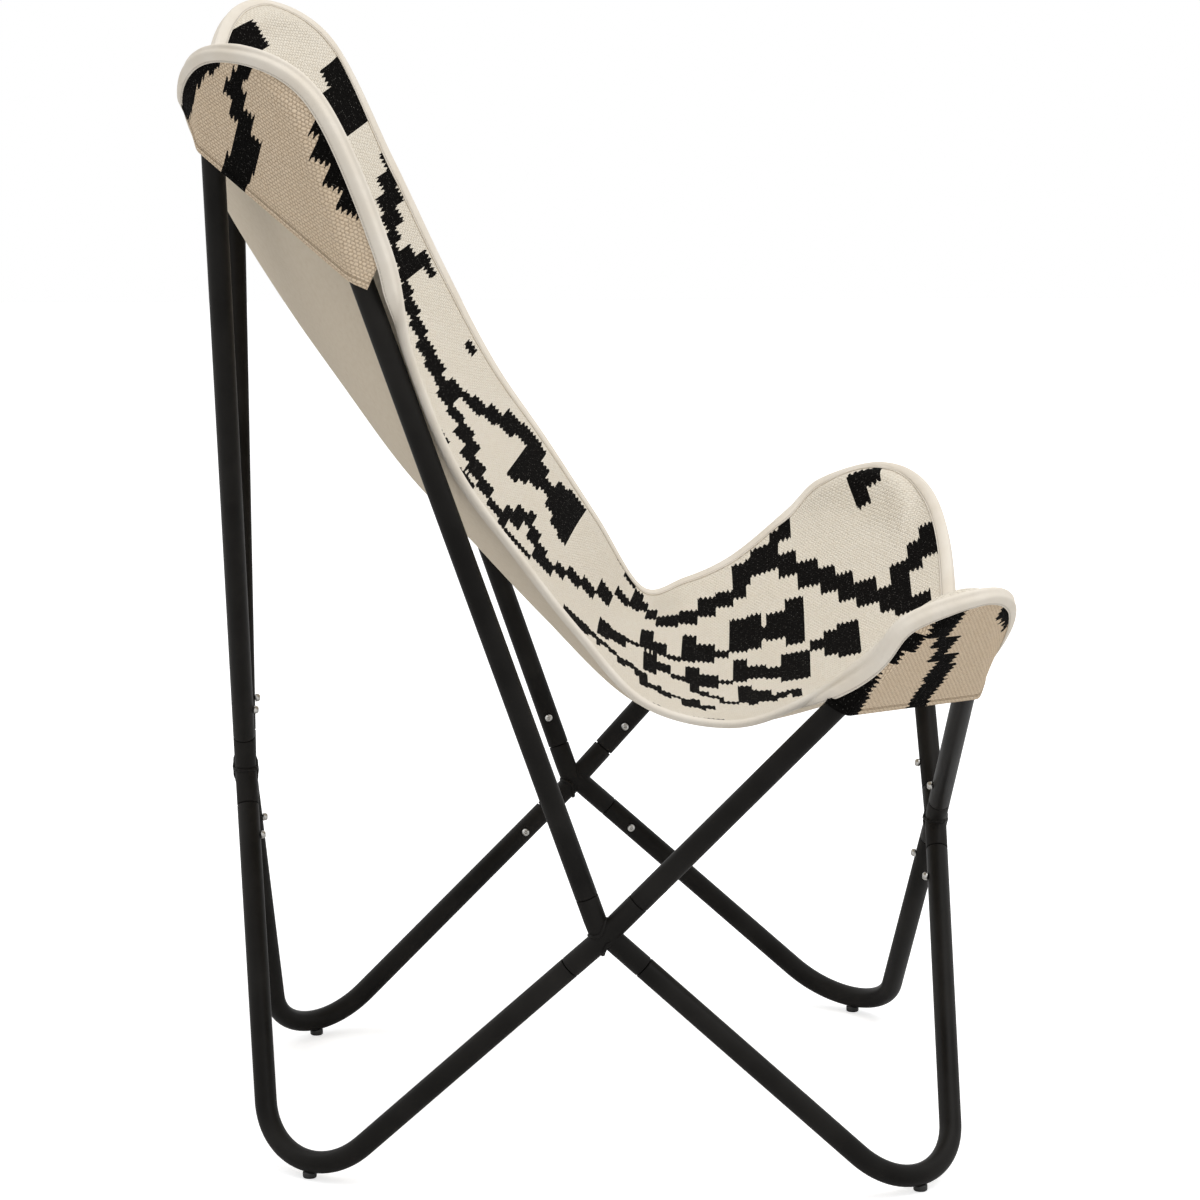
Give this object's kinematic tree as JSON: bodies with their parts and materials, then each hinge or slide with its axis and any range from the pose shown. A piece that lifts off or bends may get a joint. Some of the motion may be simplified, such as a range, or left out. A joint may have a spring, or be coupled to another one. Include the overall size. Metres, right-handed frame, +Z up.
{
  "type": "butterfly sling chair",
  "caption": "Butterfly chair: a woven sling with lobes over the peaks of a knock-down frame of bent black steel tube.",
  "frame": {"origin": "on the floor, under the middle of the bounding box", "axes": "+Z up, -Y the way the sitter faces, +X the sitter's left side"},
  "size_m": [0.7142, 0.6808, 0.9634],
  "materials": {
    "black_steel": "satin black powder coat",
    "zinc_steel": "bright zinc plate",
    "black_plastic": "matt moulded",
    "woven_cloth": "flat-woven cotton and jute",
    "canvas_tape": "plain canvas"
  },
  "bodies": {
    "root": {"peak_back_left": "black_steel", "screw_peak_back_left_side": "zinc_steel", "screw_peak_back_left_back": "zinc_steel", "peak_front_left": "black_steel", "screw_peak_front_left_side": "zinc_steel", "screw_peak_front_left_front": "zinc_steel", "foot_back_left": "black_steel", "glide_back_left": "black_plastic", "screw_foot_back_left_side": "zinc_steel", "screw_foot_back_left_back": "zinc_steel", "foot_front_left": "black_steel", "glide_front_left": "black_plastic", "screw_foot_front_left_side": "zinc_steel", "screw_foot_front_left_front": "zinc_steel", "peak_back_right": "black_steel", "screw_peak_back_right_side": "zinc_steel", "screw_peak_back_right_back": "zinc_steel", "peak_front_right": "black_steel", "screw_peak_front_right_side": "zinc_steel", "screw_peak_front_right_front": "zinc_steel", "foot_back_right": "black_steel", "glide_back_right": "black_plastic", "screw_foot_back_right_side": "zinc_steel", "screw_foot_back_right_back": "zinc_steel", "foot_front_right": "black_steel", "glide_front_right": "black_plastic", "screw_foot_front_right_side": "zinc_steel", "screw_foot_front_right_front": "zinc_steel", "crossing_left": "black_steel", "crossing_right": "black_steel", "crossing_back": "black_steel", "crossing_front": "black_steel", "sling_panel": "woven_cloth", "binding": "canvas_tape", "pocket_back_right": "woven_cloth", "pocket_back_left": "woven_cloth", "pocket_front_left": "woven_cloth", "pocket_front_right": "woven_cloth"}
  },
  "joints": []
}
